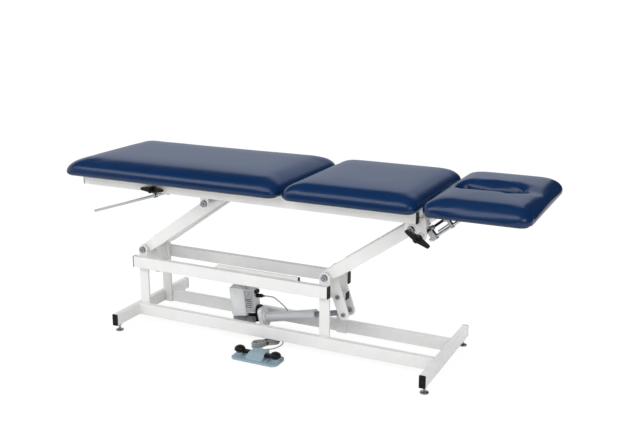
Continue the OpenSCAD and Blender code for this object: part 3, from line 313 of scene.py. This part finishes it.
def rounded_block(name, low, high, corner, top_round, bottom_round):
    deselect_all()
    bpy.ops.mesh.primitive_cube_add(size=1, location=(0, 0, 0))
    block = bpy.context.object
    block.name = name
    bpy.ops.object.mode_set(mode="EDIT")
    size = [high[i] - low[i] for i in range(3)]
    bpy.ops.transform.resize(value=size)
    bpy.ops.transform.translate(value=[(low[i] + high[i]) / 2 for i in range(3)])
    bpy.ops.mesh.select_mode(type="EDGE")
    middle = (low[2] + high[2]) / 2
    for test, width, segments in (
        (lambda a, b: abs(a.z - b.z) > 0.5 * size[2], corner, 8),
        (lambda a, b: a.z > middle and b.z > middle, top_round, 6),
        (lambda a, b: a.z < middle and b.z < middle, bottom_round, 3),
    ):
        mesh = bmesh.from_edit_mesh(block.data)
        for edge in mesh.edges:
            a, b = (v.co for v in edge.verts)
            sides = [face.normal for face in edge.link_faces]
            flat = len(sides) == 2 and sides[0].dot(sides[1]) > 0.9
            edge.select = test(a, b) and not flat
        mesh.select_flush_mode()
        bmesh.update_edit_mesh(block.data)
        bpy.ops.mesh.bevel(offset=width, segments=segments, affect="EDGES")
    bpy.ops.object.mode_set(mode="OBJECT")
    return block


def blow_up(pad, voxel, pressure, cap, floor_z):
    free_height, frames = 0.013, 20
    only(pad)
    remesh = pad.modifiers.new("remesh", "REMESH")
    remesh.mode = "VOXEL"
    remesh.voxel_size = voxel
    bpy.ops.object.modifier_apply(modifier="remesh")
    start = [v.co.copy() for v in pad.data.vertices]
    pins = pad.vertex_groups.new(name="pins")
    pins.add([v.index for v in pad.data.vertices if v.co.z < floor_z], 1.0, "REPLACE")
    cloth = pad.modifiers.new("cloth", "CLOTH")
    settings = cloth.settings
    settings.quality = 5
    settings.mass = 0.4
    settings.tension_stiffness = 12
    settings.compression_stiffness = 12
    settings.shear_stiffness = 6
    settings.bending_stiffness = 3
    settings.use_pressure = True
    settings.uniform_pressure_force = pressure
    settings.vertex_group_mass = "pins"
    settings.effector_weights.gravity = 0
    for step in range(1, frames + 1):
        bpy.context.scene.frame_set(step)
    bpy.ops.object.modifier_apply(modifier="cloth")
    bpy.context.scene.frame_set(1)
    for vertex, before in zip(pad.data.vertices, start):
        move = vertex.co - before
        limit = cap * min(max((before.z - floor_z) / free_height, 0), 1)
        if move.length > limit:
            vertex.co = before + move * (limit / move.length)
    pad.vertex_groups.clear()


def cut_recess(pad, board):
    low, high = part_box(board)
    clear, below, corner, edge = 0.0006, 0.02, 0.028, 0.0004
    cutter = rounded_block("recess", (low.x - clear, low.y - clear, low.z - below),
                           (high.x + clear, high.y + clear, high.z + clear), corner, edge, edge)
    only(pad)
    cut = pad.modifiers.new("recess", "BOOLEAN")
    cut.operation = "DIFFERENCE"
    cut.solver = "EXACT"
    cut.object = cutter
    bpy.ops.object.modifier_apply(modifier="recess")
    bpy.data.objects.remove(cutter)


# A cushion starts as a thin sheet with round corners that is drawn up step by step.
# Its widest line lies low, and above it the side leans in and rolls over into the nearly flat top.
def rising_block(name, low, high, corner, bottom_inset, steps):
    deselect_all()
    bpy.ops.mesh.primitive_cube_add(size=1, location=(0, 0, 0))
    block = bpy.context.object
    block.name = name
    middle = [(low[i] + high[i]) / 2 for i in range(3)]
    half = [(high[i] - low[i]) / 2 for i in range(2)]
    foot, near = 0.001, 0.0003
    bpy.ops.object.mode_set(mode="EDIT")
    bpy.ops.transform.resize(value=(2 * (half[0] - bottom_inset), 2 * (half[1] - bottom_inset), foot))
    bpy.ops.transform.translate(value=(middle[0], middle[1], low[2] + foot / 2))
    bpy.ops.mesh.select_mode(type="EDGE")
    mesh = bmesh.from_edit_mesh(block.data)
    for edge in mesh.edges:
        a, b = (vertex.co for vertex in edge.verts)
        edge.select = abs(a.z - b.z) > foot / 2
    mesh.select_flush_mode()
    bmesh.update_edit_mesh(block.data)
    bpy.ops.mesh.bevel(offset=corner, segments=10, affect="EDGES")
    bpy.ops.mesh.select_mode(type="FACE")
    inset, top = bottom_inset, low[2] + foot
    for height, next_inset in steps:
        mesh = bmesh.from_edit_mesh(block.data)
        for face in mesh.faces:
            face.select = all(vertex.co.z > top - near for vertex in face.verts)
        mesh.select_flush_mode()
        bmesh.update_edit_mesh(block.data)
        rise = low[2] + height - top
        bpy.ops.mesh.extrude_region_move(TRANSFORM_OT_translate={"value": (0, 0, rise)})
        top += rise
        factor = [(half[i] - next_inset) / (half[i] - inset) for i in range(2)]
        bpy.ops.transform.resize(value=(*factor, 1), center_override=(middle[0], middle[1], top))
        inset = next_inset
    bpy.ops.object.mode_set(mode="OBJECT")
    return block


# After the swelling and smoothing the cushion is drawn out again to its full size.
def draw_out(pad, low, high):
    only(pad)
    now_low = [min(vertex.co[i] for vertex in pad.data.vertices) for i in range(3)]
    now_high = [max(vertex.co[i] for vertex in pad.data.vertices) for i in range(3)]
    bpy.ops.object.mode_set(mode="EDIT")
    bpy.ops.mesh.select_all(action="SELECT")
    factor = [(high[i] - low[i]) / (now_high[i] - now_low[i]) for i in range(3)]
    bpy.ops.transform.resize(value=factor, center_override=now_low)
    bpy.ops.transform.translate(value=[low[i] - now_low[i] for i in range(3)])
    bpy.ops.object.mode_set(mode="OBJECT")


# The face opening is cut with a long round-ended block that flares out at the top.
def cut_opening(pad, middle_x, length, width, low_z, swell):
    half_l, half_w = length / 2 + swell, width / 2 + swell
    below, upright, edge = 0.02, 0.028, 0.0004
    round_end = half_w - 0.0005
    flare = ((0.012, 0.002), (0.009, 0.004), (0.007, 0.008), (0.006, 0.014), (0.012, 0.03))
    cutter = rounded_block("opening", (middle_x - half_l, -half_w, low_z - below),
                           (middle_x + half_l, half_w, low_z + upright), round_end, edge, edge)
    only(cutter)
    bpy.ops.object.mode_set(mode="EDIT")
    bpy.ops.mesh.select_mode(type="FACE")
    grown = 0.0
    for rise, grow in flare:
        mesh = bmesh.from_edit_mesh(cutter.data)
        top = max(vertex.co.z for vertex in mesh.verts)
        for face in mesh.faces:
            face.select = all(vertex.co.z > top - 2 * edge for vertex in face.verts)
        mesh.select_flush_mode()
        bmesh.update_edit_mesh(cutter.data)
        bpy.ops.mesh.extrude_region_move(TRANSFORM_OT_translate={"value": (0, 0, rise)})
        factor = ((half_l + grow) / (half_l + grown), (half_w + grow) / (half_w + grown), 1)
        bpy.ops.transform.resize(value=factor, center_override=(middle_x, 0, top + rise))
        grown = grow
    bpy.ops.object.mode_set(mode="OBJECT")
    only(pad)
    cut = pad.modifiers.new("opening", "BOOLEAN")
    cut.operation = "DIFFERENCE"
    cut.solver = "EXACT"
    cut.object = cutter
    bpy.ops.object.modifier_apply(modifier="opening")
    bpy.data.objects.remove(cutter)


# Each hinge lies midway between two cushions.
# Beside the head's hinge the lower edge is pressed back, so that the strap clears it at 35 degrees.
back_hinge_x = (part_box("back_cushion")[1].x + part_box("middle_cushion")[0].x) / 2
head_hinge_x = (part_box("middle_cushion")[1].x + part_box("head_cushion")[0].x) / 2


def press_back(pad, bottom):
    reach, lean = 0.0131, 0.7
    for vertex in pad.data.vertices:
        room = reach - lean * (vertex.co.z - bottom)
        away = vertex.co.x - head_hinge_x
        if abs(away) < room:
            vertex.co.x = head_hinge_x + math.copysign(room, away)


# The section lists how far the side stands in from the cushion's widest size at each height.
# Only the upper part is softened, and less beside the face opening.
def make_cushion(name, node, board, body, voxel, crown, opening=None):
    low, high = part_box(node)
    corner, bottom_inset, swell, pressure, pinned = 0.05, 0.0125, 0.006, 4.0, 0.0045
    upper_start, upper_full, rim, rim_share = 0.012, 0.03, 0.06, 0.15
    section = [(0.006, 0.0112), (0.012, 0.0084), (0.02, 0.0062), (0.029, 0.008), (0.038, 0.0135),
               (0.046, 0.0215), (0.052, 0.0315), (0.0565, 0.046), (0.0595, 0.066), (0.062, 0.1),
               (0.064, 0.17)]
    pad = rising_block(name, low, high, corner, bottom_inset, section)
    if opening:
        cut_opening(pad, *opening, low.z, swell)
    blow_up(pad, voxel, pressure, swell, low.z + pinned)
    upper = pad.vertex_groups.new(name="upper")
    for vertex in pad.data.vertices:
        share = min(max((vertex.co.z - low.z - upper_start) / upper_full, 0), 1)
        if opening:
            away = math.dist(vertex.co[:2], (opening[0], 0)) - opening[1] / 2
            share *= min(max(away / rim, rim_share), 1)
        upper.add([vertex.index], share, "REPLACE")
    smooth = pad.modifiers.new("smooth", "SMOOTH")
    smooth.factor = 0.5
    smooth.iterations = 6
    soften = pad.modifiers.new("soften", "SMOOTH")
    soften.factor = 0.6
    soften.iterations = 40
    soften.vertex_group = "upper"
    fine = pad.modifiers.new("fine", "SUBSURF")
    fine.levels = fine.render_levels = 1
    apply_modifiers(pad)
    pad.vertex_groups.clear()
    draw_out(pad, low, (high.x, high.y, high.z + crown))
    press_back(pad, low.z)
    cut_recess(pad, board)
    only(pad)
    bpy.ops.object.shade_smooth()
    bpy.ops.object.mode_set(mode="EDIT")
    bpy.ops.mesh.select_mode(type="EDGE")
    bpy.ops.mesh.select_all(action="DESELECT")
    bpy.ops.mesh.edges_select_sharp(sharpness=math.radians(50))
    bpy.ops.mesh.mark_sharp()
    bpy.ops.object.mode_set(mode="OBJECT")
    pad.data.materials.clear()
    pad.data.materials.append(navy_vinyl)
    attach(pad, body)
    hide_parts(node)


# The face opening's middle, length and width.
face_opening = (0.776, 0.236, 0.084)
make_cushion("back_pad", "back_cushion", "back_board", "back_section", 0.0085, 0.01)
make_cushion("middle_pad", "middle_cushion", "middle_board", "top_frame", 0.0065, 0.006)
make_cushion("head_pad", "head_cushion", "head_board", "head_section", 0.0058, 0.008, face_opening)

# Each pivot bolt shows a plated thread end in the dark ring of its lock nut, on both sides of the table.
# Every piece rides on the body that carries it.
def add_round(place, along, length, radius, end_radius):
    deselect_all()
    turn = Vector(along).to_track_quat("Z", "Y").to_euler()
    bpy.ops.mesh.primitive_cone_add(vertices=32, radius1=radius, radius2=end_radius, depth=length,
                                    location=place, rotation=turn)
    bpy.ops.object.transform_apply(location=True, rotation=True, scale=True)
    piece = bpy.context.object
    edge = piece.modifiers.new("edge", "BEVEL")
    edge.width = min(0.0004, length / 5)
    edge.segments = 2
    edge.limit_method = "ANGLE"
    apply_modifiers(piece)
    bpy.ops.object.shade_smooth()
    return piece


def fit_out(name, pieces, material, body):
    only(pieces[0])
    for piece in pieces:
        piece.select_set(True)
    if len(pieces) > 1:
        bpy.ops.object.join()
    whole = bpy.context.object
    whole.name = name
    whole.data.materials.clear()
    whole.data.materials.append(material)
    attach(whole, body)


ring_thick, ring_width, ring_top_width = 0.0008, 0.0018, 0.0015
thread_out, thread_length, thread_chamfer = 0.0006, 0.003, 0.0008
for body, node, radius, places in (
    ("base", "lower_pivot_bolts", 0.0056, ((-0.7468, 0.328), (0.1412, 0.328))),
    ("top_frame", "upper_pivot_bolts", 0.0056, ((-0.352, 0.60445), (0.536, 0.60445))),
    ("left_lift", "left_link_bolt", 0.0036, ((-0.7126, 0.234),)),
    ("right_lift", "right_crank_bolts", 0.0036, ((0.1768, 0.234), (0.2003, 0.1617))),
):
    rings, ends = [], []
    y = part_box(node)[1].y
    for x, z in places:
        for side in (-1, 1):
            rings.append(add_round((x, side * y, z), (0, side, 0), ring_thick, radius + ring_width,
                                   radius + ring_top_width))
            ends.append(add_round((x, side * (y + thread_out), z), (0, side, 0), thread_length, radius,
                                  radius - thread_chamfer))
    fit_out(body + "_nut_rings", rings, cap_plastic, body)
    fit_out(body + "_thread_ends", ends, zinc_plate, body)

# Moulded boots take up the cord's bends at the motor plug and at the foot switch.
# A black sleeve lies on the spring rod between its two collars.
plug_boot = add_round((-0.1887, 0, 0.1699), (1, 0, 0.08), 0.013, 0.0054, 0.0032)
fit_out("plug_boot", [plug_boot], cap_plastic, "actuator")
switch_boot = add_round((-0.0796, -0.1746, 0.0087), (0.1, 1, -0.05), 0.012, 0.0056, 0.0032)
fit_out("switch_boot", [switch_boot], grip_rubber, "base")
spring_sleeve = add_round((0.61604, -0.104, 0.61942), (0.7738, 0, 0.6334), 0.0483, 0.0052, 0.0052)
fit_out("spring_sleeve", [spring_sleeve], cap_plastic, "head_clamp")

# Pan-head screws hold the hinge straps from below: twelve pairs on the frame, the rest on the sections.
# They are zinc plated, like the straps.
screw_z, leaf_screw_y, screw_places = 0.6817, 0.0133, (0.022, 0.048)
screw_thick, screw_radius, screw_top_radius = 0.0014, 0.0036, 0.0024
for body, hinge_x, side, spread in (("top_frame", back_hinge_x, 1, (-leaf_screw_y, leaf_screw_y)),
                                    ("top_frame", head_hinge_x, -1, (-leaf_screw_y, leaf_screw_y)),
                                    ("back_section", back_hinge_x, -1, (0,)),
                                    ("head_section", head_hinge_x, 1, (0,))):
    heads = [add_round((hinge_x + side * place, strap_y + off, screw_z), (0, 0, -1), screw_thick,
                       screw_radius, screw_top_radius)
             for strap_y in (-0.15, 0.04, 0.15) for off in spread for place in screw_places]
    name = ("back" if hinge_x == back_hinge_x else "head") + "_hinge_screws_" + body
    fit_out(name, heads, zinc_plate, body)

# A black band round the waist of the hank holds its loops together.
# It is a thin oval sleeve that fits round the stack of loops.
tie_radius, tie_width, tie_thick, tie_flat = 0.0195, 0.006, 0.0006, 0.6051
tie_place, tie_along = (hank_x / 1000, hank_y / 1000, 0.0126), (0.574, 0.819, 0)
deselect_all()
bpy.ops.mesh.primitive_cylinder_add(vertices=48, radius=tie_radius, depth=tie_width,
                                    end_fill_type="NOTHING", location=tie_place)
hank_tie = bpy.context.object
hank_tie.rotation_euler = Vector(tie_along).to_track_quat("Z", "Y").to_euler()
hank_tie.scale = (1, tie_flat, 1)
bpy.ops.object.transform_apply(location=True, rotation=True, scale=True)
thick = hank_tie.modifiers.new("thick", "SOLIDIFY")
thick.thickness = tie_thick
thick.offset = 1
apply_modifiers(hank_tie)
bpy.ops.object.shade_smooth()
fit_out("hank_tie", [hank_tie], cap_plastic, "base")


# Each side of the motor has a darker cast cover with a row of vent slots drawn as painted shade, and four
# screws.
# Places on the motor are measured from a point low on the left of its housing, along its tilt.
motor_x, motor_z, motor_tilt = -0.29527, 0.0787, 6.006
motor_cos, motor_sin = 0.99451, 0.10463


def on_motor(x, y, z):
    return (motor_x + motor_cos * x - motor_sin * z, y, motor_z + motor_sin * x + motor_cos * z)


def add_plate(middle, size, edge_round):
    half = [value / 2 for value in size]
    rim_round = 0.0003
    piece = rounded_block("plate", [-value for value in half], half, edge_round, rim_round, rim_round)
    piece.location = on_motor(*middle)
    piece.rotation_euler = (0, math.radians(-motor_tilt), 0)
    only(piece)
    bpy.ops.object.transform_apply(location=True, rotation=True, scale=True)
    return piece


cast_cover = start_material("cast_cover", (0.36, 0.36, 0.39), 0.38)
cast_noise = add_noise(cast_cover, 70, 5)
vary_colour(cast_cover, cast_noise, (0.22, 0.22, 0.25), (0.5, 0.5, 0.52))
add_bump(cast_cover, cast_noise, 0.3, 0.0006)
cover = [add_plate((0.05, side * 0.0264, 0.06), (0.054, 0.002, 0.096), 0.0006) for side in (-1, 1)]
fit_out("motor_side_covers", cover, cast_cover, "actuator")
# The vent slots are thin black strips laid on the cover: painted shade standing for the dark inside the
# slots.
vent_shade_strips = [add_plate((0.049, side * 0.0275, height), (0.034, 0.0008, 0.0026), 0.0002)
         for side in (-1, 1) for height in (0.034, 0.043, 0.052, 0.061, 0.07)]
fit_out("motor_vent_shade_strips", vent_shade_strips, cap_plastic, "actuator")
screws = [add_round(on_motor(x, side * 0.0278, height), (0, side, 0), 0.0016, 0.0031, 0.0026)
          for side in (-1, 1) for x in (0.03, 0.07) for height in (0.02, 0.1)]
fit_out("motor_screws", screws, zinc_plate, "actuator")

# Soft studio: a wide key light in front on the left, a fill on the right and a bright room.
# The floor is pale, and seen directly it is plain white with the object's soft shadow.
world = bpy.data.worlds.new("studio")
bpy.context.scene.world = world
world.use_nodes = True
world_nodes, world_links = world.node_tree.nodes, world.node_tree.links
world_nodes["Background"].inputs["Color"].default_value = (1, 1, 1, 1)
path = world_nodes.new("ShaderNodeLightPath")
seen = world_nodes.new("ShaderNodeMath")
seen.operation = "MAXIMUM"
seen_or_mirrored = world_nodes.new("ShaderNodeMath")
seen_or_mirrored.operation = "MAXIMUM"
world_links.new(path.outputs["Is Camera Ray"], seen_or_mirrored.inputs[0])
world_links.new(path.outputs["Is Glossy Ray"], seen_or_mirrored.inputs[1])
world_links.new(seen_or_mirrored.outputs["Value"], seen.inputs[0])
world_links.new(path.outputs["Is Transmission Ray"], seen.inputs[1])
room_light, seen_light = 0.78, 1.0
strength = world_nodes.new("ShaderNodeMapRange")
strength.inputs["To Min"].default_value = room_light
strength.inputs["To Max"].default_value = seen_light
world_links.new(seen.outputs["Value"], strength.inputs["Value"])
world_links.new(strength.outputs["Result"], world_nodes["Background"].inputs["Strength"])


def add_softbox(name, place, aim, width, height, power):
    light = bpy.data.lights.new(name, "AREA")
    light.shape = "RECTANGLE"
    light.size, light.size_y = width, height
    light.energy = power
    lamp = bpy.data.objects.new(name, light)
    lamp.location = place
    lamp.rotation_euler = (Vector(aim) - Vector(place)).to_track_quat("-Z", "Y").to_euler()
    bpy.context.scene.collection.objects.link(lamp)
    return lamp


key_lamp = add_softbox("key", (-1.4, -3.4, 2.8), (0, 0, 0.6), 5.0, 1.7, 74)
key_lamp.visible_glossy = False
add_softbox("fill", (3.0, -1.6, 2.2), (0, 0, 0.4), 1.6, 1.6, 20)
top_lamp = add_softbox("top", (0.2, 0.6, 3.4), (0, 0, 0.5), 3.0, 2.0, 40)
top_lamp.visible_glossy = False

# The floor glows for the camera alone, by a share that keeps the shadow.
floor_size, floor_z, floor_glow, glow_share = 24, -0.0005, 1.08, 0.82
deselect_all()
bpy.ops.mesh.primitive_plane_add(size=floor_size, location=(0, 0, floor_z))
floor = bpy.context.object
floor.name = "floor"
floor_white = start_material("floor_white", (0.82, 0.82, 0.82), 0.8)
floor_nodes, floor_links = floor_white.node_tree.nodes, floor_white.node_tree.links
glow = floor_nodes.new("ShaderNodeEmission")
glow.inputs["Color"].default_value = (1, 1, 1, 1)
glow.inputs["Strength"].default_value = floor_glow
floor_path = floor_nodes.new("ShaderNodeLightPath")
mix = floor_nodes.new("ShaderNodeMixShader")
share = floor_nodes.new("ShaderNodeMath")
share.operation = "MULTIPLY"
share.inputs[1].default_value = glow_share
floor_links.new(floor_path.outputs["Is Camera Ray"], share.inputs[0])
floor_links.new(share.outputs["Value"], mix.inputs["Fac"])
floor_links.new(floor_nodes["Principled BSDF"].outputs["BSDF"], mix.inputs[1])
floor_links.new(glow.outputs["Emission"], mix.inputs[2])
floor_links.new(mix.outputs["Shader"], floor_nodes["Material Output"].inputs["Surface"])
floor.data.materials.append(floor_white)

# Cards round the studio are seen only in reflections: dark in front, overhead and right, grey behind.
# They give the glossy cushions their deep blue edges, and the plated parts their dark lines.
card_black = start_material("card_black", (0.02, 0.02, 0.02), 0.9)
card_grey = start_material("card_grey", (0.02, 0.02, 0.02), 0.9)
card_grey.node_tree.nodes["Principled BSDF"].inputs["Emission Color"].default_value = (0.56, 0.6, 0.68, 1)
card_grey.node_tree.nodes["Principled BSDF"].inputs["Emission Strength"].default_value = 1.0
strip_white = start_material("strip_white", (0.8, 0.8, 0.8), 0.9)
strip_white.node_tree.nodes["Principled BSDF"].inputs["Emission Color"].default_value = (1, 1, 1, 1)
strip_white.node_tree.nodes["Principled BSDF"].inputs["Emission Strength"].default_value = 1.9
for name, material, size, axis, place in (
    ("front_card", card_black, (12, 3.4), "X", (0.4, -5.4, 2.4)),
    ("ceiling_card", card_black, (12, 10), None, (0.4, -0.4, 4.1)),
    ("back_card", card_grey, (6.8, 4.1), "X", (-2.4, 4.6, 2.05)),
    ("corner_card", card_black, (5.4, 4.1), "X", (3.7, 4.6, 2.05)),
    ("right_card", card_black, (4.1, 10), "Y", (6.4, -0.4, 2.05)),
    ("strip_card", strip_white, (5.2, 1.9), None, (-0.9, -1.9, 3.3)),
):
    bpy.ops.mesh.primitive_plane_add(size=1, location=(0, 0, 0))
    card = bpy.context.object
    card.name = name
    bpy.ops.object.mode_set(mode="EDIT")
    bpy.ops.transform.resize(value=(*size, 1))
    if axis:
        bpy.ops.transform.rotate(value=math.radians(90), orient_axis=axis, center_override=(0, 0, 0))
    bpy.ops.transform.translate(value=place)
    bpy.ops.object.mode_set(mode="OBJECT")
    card.visible_camera = card.visible_diffuse = card.visible_shadow = False
    card.data.materials.append(material)
